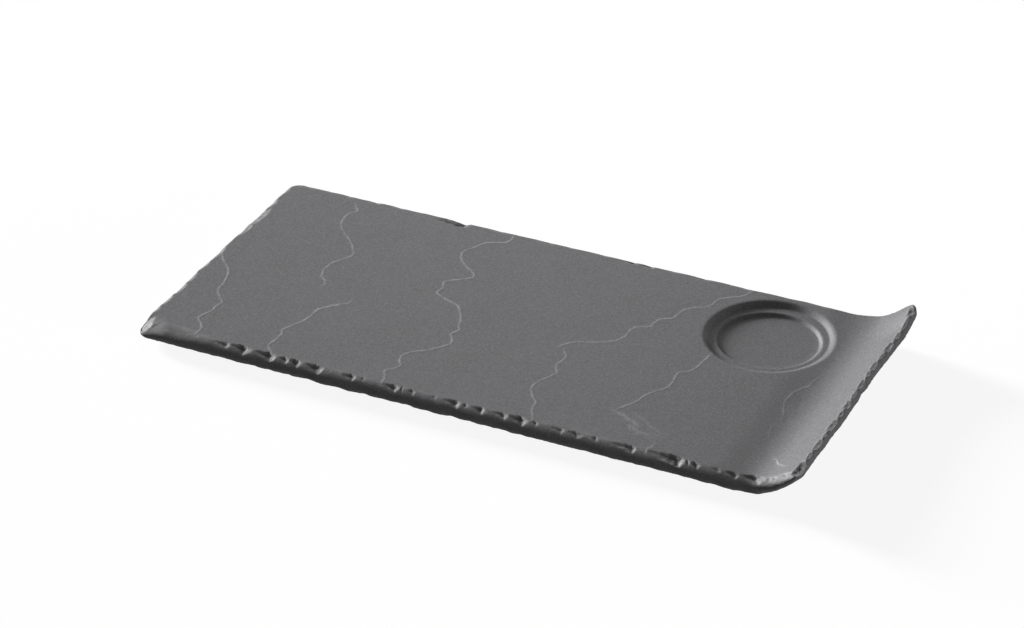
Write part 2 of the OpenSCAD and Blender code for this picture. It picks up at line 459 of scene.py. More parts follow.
# The underside, with a shallow pocket for each foot
foot_nodes = [f"foot_{across}_{along}" for across in ("front", "back") for along in ("left", "right")]
foot_places = [(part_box(name)[0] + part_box(name)[1]) / 2 for name in foot_nodes]
pocket_r = 6.5 * mm
pocket_depth = 0.8 * mm
pocket_steps = 48
pocket_angles = 2 * math.pi * np.arange(pocket_steps) / pocket_steps
pocket_circle = np.column_stack((np.cos(pocket_angles), np.sin(pocket_angles))) * pocket_r
pockets = [np.array((place.x, place.y)) for place in foot_places]
pocket_edges = np.concatenate([pocket + pocket_circle for pocket in pockets])
base_clear = 1 * mm
base_row, base_every = 1.5 * mm, 4
base_edge = outline(rim_w + base_row)[0][::base_every]
base_open = np.concatenate((lattice(step=4 * mm, lip_gap=2 * mm), base_edge))
edge_clear = rim_w + base_clear
inside = (base_open[:, 0] > left + edge_clear) & (base_open[:, 0] < tip - edge_clear)
inside &= np.abs(base_open[:, 1]) < back - edge_clear
for pocket in pockets:
    inside &= np.hypot(*(base_open - pocket).T) > pocket_r + base_clear
base_inner = np.concatenate((pocket_edges, base_open[inside]))
base_points, base_faces, middles = triangulate(verts[len(rim) - 1][:, :2], base_inner)
kept = np.full(len(base_faces), True)
for pocket in pockets:
    kept &= np.hypot(*(middles - pocket).T) > pocket_r * math.cos(math.pi / pocket_steps)
add_patch(np.column_stack((base_points, -thickness(base_points[:, 0]))),
          [face for face, keep in zip(base_faces, kept) if keep], board_t)
pocket_roof = tuple(pocket_steps + step for step in range(pocket_steps))
for pocket in pockets:
    mouth = np.column_stack((pocket + pocket_circle, np.full(pocket_steps, -board_t)))
    roof = mouth + np.array((0, 0, pocket_depth))
    add_patch(np.concatenate((mouth, roof)), [pocket_roof, *ring_faces(2, pocket_steps)], board_t)


def keep_values(mesh, **values):
    """Stores a number or a vector at every point of a mesh."""
    for label, numbers in values.items():
        numbers = np.asarray(numbers, dtype=float)
        kind, field = ("FLOAT_VECTOR", "vector") if numbers.ndim == 2 else ("FLOAT", "value")
        mesh.attributes.new(label, kind, "POINT").data.foreach_set(field, numbers.ravel())


# The casting isn't quite even. Both corners of the lip stand a little higher than its middle, the back
# one flares up and out, the tip is slightly hollow between them, the front draws in towards the lip, and
# the top falls away at the near left corner
far_lift = 0.2 * mm
near_lift = 1.3 * mm
corner_lift = 2.2 * mm
corner_lift_loss = 0.2
corner_out = 3.0 * mm
flare_lift = 0.5 * mm
flare_out = 1.2 * mm
hollow_in = 0.9 * mm
hollow_middle, hollow_half = 14 * mm, 46 * mm
front_in = 0.6 * mm
dome_drop = 2.0 * mm
flat = np.concatenate(verts)
along, across, _ = flat.T.copy()
deep = np.clip(-flat[:, 2] / thickness(along), 0, 1)
far_side = grow(across, 22 * mm, back)
near_side = grow(across, 0, -back)
at_tip = grow(along, 136 * mm, tip)
corner = grow(across, 46 * mm, back) * grow(along, 133 * mm, 150 * mm) * (1 - corner_lift_loss * deep)
flare = grow(across, 40 * mm, back) * grow(along, 118 * mm, 130 * mm)
hollow = soft_step(1 - np.abs(across - hollow_middle) / hollow_half) * at_tip
dome = near(flat, (left, front), reach=14 * mm) * (1 - deep)
drawn_in = near_side * grow(along, 106 * mm, 136 * mm)
lift = grow(along, 120 * mm, tip) * (far_lift * far_side + near_lift * near_side)
lift += corner_lift * corner + flare_lift * flare - dome_drop * dome
flat += np.column_stack((corner_out * far_side * at_tip - hollow_in * hollow,
                         front_in * drawn_in + flare_out * flare, lift))
blank = bpy.data.meshes.new("board_blank")
blank.from_pydata(flat.tolist(), [], faces)
keep_values(blank, **{name: np.concatenate(parts) for name, parts in point_values.items()})
weld_gap = 0.02 * mm
weld = bmesh.new()
weld.from_mesh(blank)
bmesh.ops.remove_doubles(weld, verts=weld.verts, dist=weld_gap)
bmesh.ops.recalc_face_normals(weld, faces=weld.faces)
weld.to_mesh(blank)
weld.free()

# Flake scars, in millimetres along each edge: where a scar starts, where it is deepest and where it
# ends, how far in from the edge it bites and how deep its floor lies
flake_scars = {
    "front": [
        (-130, -124.5, -121.5, 4.3, 0.5), (-120, -109.5, -106.5, 4.3, 1.0), (-108, -102, -97, 5.1, 1.7),
        (-97, -89.5, -85, 4.9, 1.7), (-85.5, -81.5, -78.5, 4.5, 1.1), (-80, -76.8, -73, 4.8, 1.4),
        (-73.5, -67.2, -62, 4.8, 1.5), (-56, -50.5, -47, 4.4, 1.1), (-47, -45, -42, 4.2, 0.5),
        (-36.5, -30.8, -27.5, 4.7, 1.3), (-27.6, -27.1, -26.5, 4.5, 0.9), (-25.5, -22.5, -19.5, 4.4, 0.8),
        (-15.5, -12, -9.5, 4.3, 0.5), (-9, -2.6, 0.4, 4.7, 1.3), (0, 2, 4.8, 4.3, 0.6),
        (4, 8.7, 11.6, 4.6, 1.2), (12, 19, 22, 4.5, 1.0), (20.5, 26.5, 31, 5.0, 1.5),
        (31, 33.3, 36, 4.4, 0.7), (36.5, 44.8, 48, 4.3, 0.9), (47, 51.2, 56, 4.6, 1.1),
        (56.5, 60, 62.6, 4.3, 0.7), (63, 75.5, 78.8, 4.5, 1.2), (80, 95, 99.5, 5.4, 1.8),
        (98.5, 99.8, 101.4, 4.4, 0.7), (101, 103, 106, 4.5, 1.1), (107.5, 113, 115, 4.3, 0.7),
        (115, 119.6, 122.6, 4.5, 1.0), (121, 128.5, 133.5, 5.1, 1.4), (133, 134.5, 137, 4.0, 0.5),
        (136.5, 137.5, 140, 3.4, 0.6), (139.5, 142.5, 144, 3.8, 0.8), (143.5, 145, 148, 3.2, 0.6),
        (147, 149.5, 152, 4.0, 0.9),
    ],
    "corner": [(-84, -68.5, -58, 4.4, 0.2)],
    "left": [
        (-57, -54, -51, 1.8, 0.3), (-50, -45, -41, 2.0, 0.4), (-40, -34, -29, 2.3, 0.4),
        (-29, -25, -21, 2.0, 0.3), (-18, -12, -8, 1.7, 0.3), (-6, 0, 6, 2.1, 0.4), (17, 24, 29, 2.8, 0.3),
        (27, 37, 45, 3.6, 0.3), (44, 49, 53, 2.0, 0.3), (57, 62, 66, 1.7, 0.3),
    ],
    "back": [
        (-148, -143, -137, 2.2, 0.5), (-134, -131, -129, 1.7, 0.3), (-128, -122, -117, 2.1, 0.6),
        (-114, -108, -105, 2.4, 0.7), (-102, -96, -90, 1.8, 0.4), (-76, -64, -60.5, 5.0, 1.8),
        (-52, -46, -40, 2.1, 0.5), (-30, -22, -17, 2.2, 0.6), (-14, -11, -8, 1.6, 0.3),
        (-2, 4, 10, 1.9, 0.5), (14, 19, 21, 2.6, 0.8), (22, 27, 30, 2.8, 0.8), (33, 38, 43, 1.8, 0.4),
        (45, 52, 58, 2.4, 0.7), (66, 72, 78, 1.8, 0.4), (104, 108, 112, 1.5, 0.3),
    ],
    "tip": [
        (60, 64, 67, 2.4, 1.0), (50, 54, 60, 1.3, 0.3), (43, 46, 49, 1.8, 0.5), (33, 36, 42, 2.2, 0.5),
        (27, 29, 32, 1.2, 0.3), (18, 20, 26, 2.1, 0.4), (12, 15, 17, 1.5, 0.3), (2, 5, 11, 1.9, 0.5),
        (-6, -4, 1, 1.3, 0.3), (-15, -12, -7, 2.2, 0.5), (-22, -20, -16, 1.5, 0.4),
        (-34, -30, -23, 2.3, 0.4), (-39, -37, -35, 1.3, 0.3), (-50, -45, -40, 1.9, 0.5),
        (-57, -54, -51, 1.6, 0.3), (-70, -64, -58, 3.0, 1.6),
    ],
}
# Each edge: a point on it, the way it runs, the way in, how steeply the floor of a scar falls outward
# there, and how far the scar leans along it
board_edges = {
    "front": ((0, front), (1, 0), (0, 1), 0.06, 0.5),
    "corner": ((left, 0), (0, 1), (1, 0), 0.5, 0.0),
    "left": ((left, 0), (0, 1), (1, 0), 0.4, 0.0),
    "back": ((0, back), (1, 0), (0, -1), -0.08, 0.3),
    "tip": ((tip, 0), (0, 1), (-1, 0), 1.3, 0.0),
}
scar_places, scar_list = [], []


def strike(edge, start, peak, end, bite, drop, under=False):
    """Adds one scar, which deepens from its start to its peak and comes out again at its end."""
    *ways, slant, skew = board_edges[edge]
    place, runs, way_in = (np.array((*way, 0)) for way in ways)
    scar_places.append(place + runs * start)
    scar_list.append({
        "runs": runs, "way_in": way_in, "rise": peak - start, "fall": end - peak, "bite": bite,
        "drop": drop, "slant": slant, "skew": skew, "under": float(under),
    })


for edge, scars in flake_scars.items():
    for scar in scars:
        strike(edge, *(np.array(scar) * mm))
# Small nicks between the scars, and chips along the lower edge: whether it lies below, how far apart, how
# long, how far in and how deep, in millimetres
small_scars = {
    "front": [(False, (3, 12), (2, 5), (2.2, 4.2), (0.2, 0.5)),
              (True, (0, 6), (4, 13), (2.2, 4.4), (0.5, 1.6))],
    "left": [(False, (3, 12), (2, 5), (1.0, 1.8), (0.1, 0.3)),
             (True, (0, 6), (4, 13), (1.5, 3.0), (0.4, 1.2))],
    "back": [(False, (5, 14), (2, 5), (1.0, 1.6), (0.1, 0.2)),
             (True, (0, 6), (4, 13), (1.5, 3.0), (0.4, 1.2))],
    "tip": [(True, (6, 16), (4, 9), (0.8, 1.6), (0.2, 0.6))],
}
edge_ends = {"front": (left, tip), "left": (front, back), "back": (left, tip), "tip": (front, back)}
first_gap = (2, 6)
last_gap = 6 * mm
peak_range = (0.3, 0.8)
scar_chance = random.Random(7)
for edge, (low, high) in edge_ends.items():
    for under, spacing, lengths, bites, drops in small_scars[edge]:
        run = low + scar_chance.uniform(*first_gap) * mm
        while run < high - last_gap:
            reach, bite, drop = (scar_chance.uniform(*sizes) * mm for sizes in (lengths, bites, drops))
            peak = run + reach * scar_chance.uniform(*peak_range)
            strike(edge, run, peak, run + reach, bite, drop, under)
            run += reach + scar_chance.uniform(*spacing) * mm


def guide(name, points, edges, **values):
    """Points and edges for a node tree to read, with values at each point."""
    mesh = bpy.data.meshes.new(name)
    mesh.from_pydata(np.asarray(points).tolist(), edges, [])
    keep_values(mesh, **values)
    return bpy.data.objects.new(name, mesh)


scar_values = {name: [scar[name] for scar in scar_list] for name in scar_list[0]}
scars = guide("scars", scar_places, [], **scar_values)
lines = guide("layer_lines", line_points, line_edges, strength=line_strengths, spread=line_spreads)
bend_curve = bpy.data.curves.new("lip_bend", "CURVE")
bend_curve.dimensions = "3D"
bend_start = left - 10 * mm
bend_points = [(bend_start, 0), (slope_runs[0], 0), *zip(lip_xs, lip_zs)]
bend_spline = bend_curve.splines.new("POLY")
bend_spline.points.add(len(bend_points) - 1)
for point, (run, rise) in zip(bend_spline.points, bend_points):
    point.co = (run, 0, rise, 1)
bend = bpy.data.objects.new("lip_bend", bend_curve)


def node(tree, kind, inputs=(), out=0, **settings):
    """Adds a node, feeds its open inputs in order and gives back one of its open outputs."""
    made = tree.nodes.new(kind)
    for name, value in settings.items():
        setattr(made, name, value)
    for socket, value in zip([socket for socket in made.inputs if socket.enabled], inputs):
        if isinstance(value, bpy.types.NodeSocket):
            tree.links.new(value, socket)
        elif value is not None:
            socket.default_value = value
    return [socket for socket in made.outputs if socket.enabled][out]


def calc(tree, operation, *values):
    return node(tree, "ShaderNodeMath", values, operation=operation)


def product(tree, value, *others):
    for other in others:
        value = calc(tree, "MULTIPLY", value, other)
    return value


def noise(tree, where, scale, detail=2.0, rough=0.5):
    """Noise between 0 and 1, with a scale in waves to the metre."""
    return node(tree, "ShaderNodeTexNoise", (where, scale, detail, rough))


def ramp(tree, value, low, high, to_low=0.0, to_high=1.0):
    """Takes a value from one range to another, held at the ends."""
    return node(tree, "ShaderNodeMapRange", (value, low, high, to_low, to_high))


def blend(tree, share, first, second):
    return node(tree, "ShaderNodeMix", (share, first, second), data_type="RGBA")


def mark(tree, name):
    """A value stored on the mesh, for a material."""
    return node(tree, "ShaderNodeAttribute", out=2, attribute_name=name)


def new_finish(name):
    """A material: gives it back with its node tree and the inputs of its shader."""
    finish = bpy.data.materials.new(name)
    finish.use_nodes = True
    return finish, finish.node_tree, finish.node_tree.nodes["Principled BSDF"].inputs


# Matt stoneware: a dark grey body with a fine grain, faint clouds and specks, and paler layer lines. The
# arrises between scars are paler, a painted highlight that is partly wear, and the back edge has painted
# shade
stone_grey = (0.086, 0.086, 0.090, 1)
stone_dark = (0.076, 0.076, 0.079, 1)
grain_pale = (0.179, 0.179, 0.186, 1)
speck_and_shade_dark = (0.055, 0.055, 0.057, 1)
line_pale = (0.34, 0.34, 0.35, 1)
wear_and_highlight_pale = (0.25, 0.25, 0.255, 1)
grain_share = 0.9
speck_share = 0.45
painted_shade_share = 0.7
stone_roughness = (0.56, 0.68)
pit_share = 1.6
stone_relief = 0.06 * mm
stone, clay, clay_in = new_finish("stoneware")
clay_in["Specular IOR Level"].default_value = 0.34
place = node(clay, "ShaderNodeTexCoord", out=3)
clouds = noise(clay, place, 55, 3)
grain = noise(clay, place, 1300, 3, 0.6)
specks = noise(clay, place, 700, 1)
pits = noise(clay, place, 330, 3)
patches = ramp(clay, noise(clay, place, 240, 3), 0.3, 0.62, 0.3, 1)
colour = blend(clay, ramp(clay, clouds, 0.35, 0.65), stone_dark, stone_grey)
colour = blend(clay, ramp(clay, grain, 0.36, 0.72, 0, grain_share), colour, grain_pale)
colour = blend(clay, ramp(clay, specks, 0.27, 0.2, 0, speck_share), colour, speck_and_shade_dark)
# Painted shade: the face of the back edge is darkened with the speck colour
colour = blend(clay, product(clay, mark(clay, "painted_shade"), painted_shade_share), colour, speck_and_shade_dark)
colour = blend(clay, product(clay, mark(clay, "line"), patches), colour, line_pale)
# Paler along the arrises and the shoulder: a painted highlight, partly wear
colour = blend(clay, product(clay, mark(clay, "wear_and_highlight"), patches), colour, wear_and_highlight_pale)
clay.links.new(colour, clay_in["Base Color"])
# From low down the grains hide each other, and the gloss is lost
rougher_from_low = 0.3
low_angle = node(clay, "ShaderNodeLayerWeight", (0.5,), out=1)
from_low = ramp(clay, low_angle, 0.6, 0.74, 0.0, rougher_from_low)
roughness = calc(clay, "ADD", ramp(clay, grain, 0.3, 0.7, *stone_roughness), from_low)
clay.links.new(roughness, clay_in["Roughness"])
relief = calc(clay, "ADD", grain, product(clay, pits, pit_share))
clay.links.new(node(clay, "ShaderNodeBump", (0.4, stone_relief, None, relief)), clay_in["Normal"])


def new_tree(name, sockets):
    """A node tree with named inputs: gives back the tree, its input outlets, their keys and its end."""
    tree = bpy.data.node_groups.new(name, "GeometryNodeTree")
    keys = {}
    for label, kind in sockets.items():
        socket = tree.interface.new_socket(label, in_out="INPUT", socket_type="NodeSocket" + kind)
        keys[label] = socket.identifier
    tree.interface.new_socket("Geometry", in_out="OUTPUT", socket_type="NodeSocketGeometry")
    outlets = {socket.name: socket for socket in tree.nodes.new("NodeGroupInput").outputs}
    return tree, outlets, keys, tree.nodes.new("NodeGroupOutput").inputs["Geometry"]


def vector_calc(tree, operation, *values):
    return node(tree, "ShaderNodeVectorMath", values, operation=operation)


def wobble(tree, where, *settings):
    """Noise about zero."""
    return calc(tree, "SUBTRACT", noise(tree, where, *settings), 0.5)


def bell(tree, value, width):
    """1 where a value is zero, falling off on both sides over a width."""
    square = calc(tree, "POWER", calc(tree, "DIVIDE", value, width), 2.0)
    return calc(tree, "EXPONENT", calc(tree, "MULTIPLY", square, -1.0))


def stored(tree, name, data_type="FLOAT"):
    return node(tree, "GeometryNodeInputNamedAttribute", (name,), data_type=data_type)


def store(tree, geometry, name, value):
    inputs = (geometry, None, name, value)
    return node(tree, "GeometryNodeStoreNamedAttribute", inputs, data_type="FLOAT", domain="POINT")


def sample(tree, geometry, value, index, data_type="FLOAT"):
    inputs = (geometry, value, index)
    return node(tree, "GeometryNodeSampleIndex", inputs, data_type=data_type, domain="POINT")


def shift(tree, geometry, direction, amount):
    offset = vector_calc(tree, "SCALE", direction, amount)
    return node(tree, "GeometryNodeSetPosition", (geometry, None, None, offset))


# The tree that works the blank: strikes the scars, roughens what is broken, raises the layer lines and
# turns up the lip
work_guides = {"Scars": scars, "Layer lines": lines, "Lip bend": bend}
work_sizes = {
    "Bend start": bend_start, "Thickness": board_t, "Rim width": rim_w, "Scar wander": 1.8 * mm,
    "Scar wall": 0.5 * mm, "Scar softness": 0.3 * mm, "Skin waviness": 0.1 * mm,
    "Edge waviness": 1.4 * mm, "Base waviness": 1.4 * mm, "Split relief": 0.5 * mm,
    "Break roughness": 0.35 * mm, "Highlight and wear width": 0.4 * mm, "Line height": 0.09 * mm, "Top height": top_z,
}
work, given, work_keys, work_end = new_tree("work_board", {
    "Geometry": "Geometry", **dict.fromkeys(work_guides, "Object"), **dict.fromkeys(work_sizes, "Float"),
    "Material": "Material",
})
position = node(work, "GeometryNodeInputPosition")
inset, depth, shelf, thin = (stored(work, name) for name in ("inset", "depth", "shelf", "thin"))
inward_at, edge_way = (stored(work, name, "FLOAT_VECTOR") for name in ("inward", "edge_way"))
scar_points = node(work, "GeometryNodeObjectInfo", (given["Scars"],), out=4)
each_scar = work.nodes.new("GeometryNodeRepeatInput")
after_scars = work.nodes.new("GeometryNodeRepeatOutput")
each_scar.pair_with_output(after_scars)
this_scar = each_scar.outputs["Iteration"]
scar_count = node(work, "GeometryNodeAttributeDomainSize", (scar_points,), component="MESH")
work.links.new(scar_count, each_scar.inputs["Iterations"])
before_scars = {
    "cut": 0.0, "cut_under": 0.0, "wear_and_highlight": 0.0,
    "ragged": calc(work, "MULTIPLY_ADD", noise(work, position, 430, 2, 0.6), 0.2, 0.9),
    "uneven": calc(work, "MULTIPLY_ADD", noise(work, position, 330, 2, 0.55), 0.6, 0.7),
    "wander": product(work, wobble(work, position, 260, 2, 0.6), given["Scar wander"]),
}
uncut = given["Geometry"]
for name, value in before_scars.items():
    uncut = store(work, uncut, name, value)
work.links.new(uncut, each_scar.inputs["Geometry"])


def of_scar(name, data_type="FLOAT"):
    """A value of the scar whose turn it is."""
    return sample(work, scar_points, stored(work, name, data_type), this_scar, data_type)


# How far along the scar a point is, and how deep the scar is there: it grows to the peak, then comes out
fall_bow = 1.4
peak_softness = 0.2
scar_start = sample(work, scar_points, position, this_scar, "FLOAT_VECTOR")
from_start = vector_calc(work, "SUBTRACT", position, scar_start)
along = vector_calc(work, "DOT_PRODUCT", from_start, of_scar("runs", "FLOAT_VECTOR"))
along = calc(work, "ADD", along, stored(work, "wander"))
outer_part = calc(work, "MAXIMUM", calc(work, "SUBTRACT", of_scar("bite"), inset), 0.0)
along = calc(work, "SUBTRACT", along, product(work, outer_part, of_scar("skew")))
rising = calc(work, "MAXIMUM", calc(work, "DIVIDE", along, of_scar("rise")), 0.0)
to_end = calc(work, "SUBTRACT", calc(work, "ADD", of_scar("rise"), of_scar("fall")), along)
falling = calc(work, "MAXIMUM", calc(work, "DIVIDE", to_end, of_scar("fall")), 0.0)
falling = calc(work, "POWER", falling, fall_bow)
grown = calc(work, "MINIMUM", calc(work, "SMOOTH_MIN", rising, falling, peak_softness), 1.0)
# Only the edge that was struck
way_in = of_scar("way_in", "FLOAT_VECTOR")
same_edge = ramp(work, vector_calc(work, "DOT_PRODUCT", edge_way, way_in), 0.3, 0.8)
from_edge = vector_calc(work, "DOT_PRODUCT", from_start, way_in)
near_edge = calc(work, "LESS_THAN", from_edge, product(work, given["Rim width"], 2.0))
grown = product(work, calc(work, "MAXIMUM", grown, 0.0), same_edge, near_edge)
# A steep face below the arris, whose edge is painted pale (a painted highlight, partly wear), then a
# floor that falls outward
arris = product(work, of_scar("bite"), ramp(work, grown, 0.0, 1.0, 0.85, 1.0), stored(work, "ragged"))
into = calc(work, "SUBTRACT", arris, inset)
outward_fall = product(work, into, of_scar("slant"), ramp(work, grown, 0.02, 0.2))
scar_floor = calc(work, "MULTIPLY_ADD", of_scar("drop"), grown, outward_fall)
bitten = product(work, scar_floor, stored(work, "uneven"), ramp(work, into, 0.0, given["Scar wall"]))
from_above = calc(work, "SUBTRACT", 1.0, of_scar("under"))
on_arris = product(work, bell(work, into, given["Highlight and wear width"]), ramp(work, grown, 0.1, 0.5), from_above)
struck = each_scar.outputs["Geometry"]
for name, value in (("cut", product(work, bitten, from_above)),
                    ("cut_under", product(work, bitten, of_scar("under"))), ("wear_and_highlight", on_arris)):
    struck = store(work, struck, name, calc(work, "MAXIMUM", stored(work, name), value))
work.links.new(struck, after_scars.inputs["Geometry"])

# The rim sinks to the scars from above and rises to the chips from below
soft_cut = 0.3 * mm
broken_depth = 0.15 * mm
cut = stored(work, "cut")
sunk = calc(work, "SMOOTH_MAX", depth, cut, ramp(work, cut, 0.0, soft_cut, 0.0, given["Scar softness"]))
left_over = calc(work, "SUBTRACT", given["Thickness"], sunk)
height = calc(work, "MAXIMUM", left_over, stored(work, "cut_under"))
moved_down = calc(work, "SUBTRACT", calc(work, "SUBTRACT", given["Thickness"], height), depth)
broken = ramp(work, calc(work, "ABSOLUTE", moved_down), 0.0, broken_depth)
chipped = store(work, after_scars.outputs["Geometry"], "broken", broken)
chipped = shift(work, chipped, (0.0, 0.0, -1.0), product(work, moved_down, thin))

# A paler band along the shoulder where it leaves the top, a painted highlight that is partly wear, on all
# sides but the back, whose face gets painted shade instead
pale_place, pale_width = 0.84, 0.18
pale_depths = (2.0 * mm, 0.5 * mm)
painted_shade_depths = (0.1 * mm, 0.6 * mm)
rim_share = calc(work, "DIVIDE", inset, given["Rim width"])
in_rim = ramp(work, rim_share, 0.98, 0.9)
from_pale_place = calc(work, "SUBTRACT", calc(work, "DIVIDE", inset, shelf), pale_place)
patchy = ramp(work, noise(work, position, 150, 2), 0.35, 0.65, 0.05, 0.5)
on_back = ramp(work, vector_calc(work, "DOT_PRODUCT", edge_way, (0.0, -1.0, 0.0)), 0.3, 0.9)
off_back = calc(work, "SUBTRACT", 1.0, on_back)
pale_shoulder = product(work, bell(work, from_pale_place, pale_width), patchy, in_rim, off_back)
pale_shoulder = product(work, pale_shoulder, ramp(work, depth, *pale_depths))
# Painted shade on the face of the back edge, stored for the material
chipped = store(work, chipped, "painted_shade", product(work, on_back, ramp(work, depth, *painted_shade_depths)))
chipped = store(work, chipped, "wear_and_highlight", calc(work, "MAXIMUM", stored(work, "wear_and_highlight"), pale_shoulder))

# The edge wavers, the lower side is uneven and streaked along its layers, what is broken is rough, and so
# is the whole rim by the lip; the skin is never quite flat
upright = (0.0, 0.0, 1.0)
low_depths = (3.0 * mm, 6.0 * mm)
split_depths = (0.8 * mm, 2.5 * mm)
streak_scale = (70.0, 70.0, 600.0)
rough_runs = (128 * mm, 136 * mm)
rough_shares = (0.25, 1.8)
edge = ramp(work, rim_share, 0.75, 0.0)
wave = product(work, wobble(work, position, 75, 1), edge, thin, given["Edge waviness"])
chipped = shift(work, chipped, inward_at, wave)
elsewhere = vector_calc(work, "ADD", position, (0.3, 0.7, 0.2))
ripple = product(work, wobble(work, elsewhere, 150, 3), ramp(work, depth, *low_depths), edge, thin)
ripple = product(work, ripple, given["Base waviness"])
chipped = shift(work, chipped, vector_calc(work, "ADD", inward_at, upright), ripple)
streaks = wobble(work, vector_calc(work, "MULTIPLY", position, streak_scale), 1, 3, 0.6)
layered = product(work, streaks, ramp(work, depth, *split_depths), edge, given["Split relief"])
chipped = shift(work, chipped, inward_at, layered)
along_board = vector_calc(work, "DOT_PRODUCT", position, (1.0, 0.0, 0.0))
rough_rim = product(work, edge, ramp(work, along_board, *rough_runs, *rough_shares))
rough = calc(work, "MAXIMUM", stored(work, "broken"), rough_rim)
bumpy = product(work, wobble(work, position, 420, 3, 0.6), rough, given["Break roughness"])
chipped = shift(work, chipped, node(work, "GeometryNodeInputNormal"), bumpy)
uneven_skin = product(work, wobble(work, position, 120, 2), given["Skin waviness"])
chipped = shift(work, chipped, upright, uneven_skin)

# Each layer line is a low pale ridge on the top, measured in plan, that ends where the edge falls away
line_depths = (0.2 * mm, 0.9 * mm)
line_guide = node(work, "GeometryNodeObjectInfo", (given["Layer lines"],), out=4)
in_plan = vector_calc(work, "MULTIPLY", position, (1.0, 1.0, 0.0))
to_line = node(work, "GeometryNodeProximity", (line_guide, None, in_plan), out=1, target_element="EDGES")
nearest = node(work, "GeometryNodeSampleNearest", (line_guide, in_plan), domain="POINT")
strength = sample(work, line_guide, stored(work, "strength"), nearest)
spread = sample(work, line_guide, stored(work, "spread"), nearest)
on_top = ramp(work, sunk, *line_depths, 1.0, 0.0)
lined = store(work, chipped, "line", product(work, bell(work, to_line, spread), strength, on_top))
lined = shift(work, lined, upright, product(work, stored(work, "line"), given["Line height"]))

# The lip turns up: each point keeps its height above the bend, square to it
parts = work.nodes.new("ShaderNodeSeparateXYZ")
work.links.new(position, parts.inputs["Vector"])
run, over, rise = parts.outputs
bend_guide = node(work, "GeometryNodeObjectInfo", (given["Lip bend"],), out=4)
on_bend = work.nodes.new("GeometryNodeSampleCurve")
on_bend.mode = "LENGTH"
on_bend.use_all_curves = True
work.links.new(bend_guide, on_bend.inputs["Curves"])
work.links.new(calc(work, "SUBTRACT", run, given["Bend start"]), on_bend.inputs["Length"])
heading = work.nodes.new("ShaderNodeSeparateXYZ")
work.links.new(on_bend.outputs["Tangent"], heading.inputs["Vector"])
leaning = calc(work, "MULTIPLY", heading.outputs["Z"], -1.0)
square_up = node(work, "ShaderNodeCombineXYZ", (leaning, 0.0, heading.outputs["X"]))
raised = vector_calc(work, "SCALE", square_up, rise)
across_and_up = node(work, "ShaderNodeCombineXYZ", (0.0, over, given["Top height"]))
turned = vector_calc(work, "ADD", on_bend.outputs["Position"], raised)
turned = vector_calc(work, "ADD", turned, across_and_up)
shaped = node(work, "GeometryNodeSetPosition", (lined, None, turned))
for name in (*point_values, "cut", "cut_under", "wander", "ragged", "uneven", "broken"):
    shaped = node(work, "GeometryNodeRemoveAttribute", (shaped, name))
shaped = node(work, "GeometryNodeSetShadeSmooth", (shaped, None, True))
shaped = node(work, "GeometryNodeRealizeInstances", (shaped,))
work.links.new(node(work, "GeometryNodeSetMaterial", (shaped, None, given["Material"])), work_end)


def put_in_scene(name, data):
    thing = bpy.data.objects.new(name, data)
    bpy.context.scene.collection.objects.link(thing)
    return thing


def worked(name, mesh, tree, keys, values):
    """Runs a node tree over a mesh and gives back an object that holds the plain result."""
    raw = put_in_scene(name + "_raw", mesh)
    modifier = raw.modifiers.new("work", "NODES")
    modifier.node_group = tree
    for label, value in values.items():
        modifier[keys[label]] = value
    result = bpy.data.meshes.new_from_object(raw.evaluated_get(bpy.context.evaluated_depsgraph_get()))
    raw.modifiers.remove(modifier)
    bpy.data.objects.remove(raw)
    result.name = name
    return put_in_scene(name, result)


board = worked("board_skin", blank, work, work_keys, {**work_guides, **work_sizes, "Material": stone})
for helper in work_guides.values():
    bpy.data.objects.remove(helper)
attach(board, "root")
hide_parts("board")

# Four feet
# Moulded rubber pads with a soft shoulder and fine grip rings underneath, stuck into shallow pockets
# so that the board stands clear of the table and doesn't slide.
foot_low, foot_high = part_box(foot_nodes[0])
foot_r = (foot_high.x - foot_low.x) / 2
foot_h = foot_high.z - foot_low.z
foot_base_r = 4.5 * mm
foot_round = 1.1 * mm
foot_round_steps = 6
foot_top_round = 0.2 * mm
foot_steps = 64
grip_rings, grip_rows = 4, 8
grip_depth = 0.15 * mm
lathe_gap = 0.005 * mm
foot_profile = [(0, foot_h), (foot_r - foot_top_round, foot_h), (foot_r, foot_h - foot_top_round)]
for step in range(foot_round_steps + 1):
    angle = math.pi / 2 * step / foot_round_steps
    radius = foot_base_r + (foot_r - foot_base_r) * math.cos(angle)
    foot_profile.append((radius, foot_round * (1 - math.sin(angle))))
for row in range(1, grip_rings * grip_rows + 1):
    groove = grip_depth * (1 - math.cos(2 * math.pi * row / grip_rows)) / 2
    foot_profile.append((foot_base_r * (1 - row / (grip_rings * grip_rows)), groove))
lathe = bmesh.new()
lathe_points = [lathe.verts.new((radius, 0, height)) for radius, height in foot_profile]
lathe_edges = [lathe.edges.new(pair) for pair in zip(lathe_points, lathe_points[1:])]
bmesh.ops.spin(lathe, geom=lathe_points + lathe_edges, cent=(0, 0, 0), axis=(0, 0, 1), angle=2 * math.pi,
               steps=foot_steps, use_merge=True)
bmesh.ops.remove_doubles(lathe, verts=lathe.verts, dist=lathe_gap)
bmesh.ops.recalc_face_normals(lathe, faces=lathe.faces)
foot_mesh = bpy.data.meshes.new("foot")
lathe.to_mesh(foot_mesh)
lathe.free()
one_foot = bpy.data.objects.new("one_foot", foot_mesh)

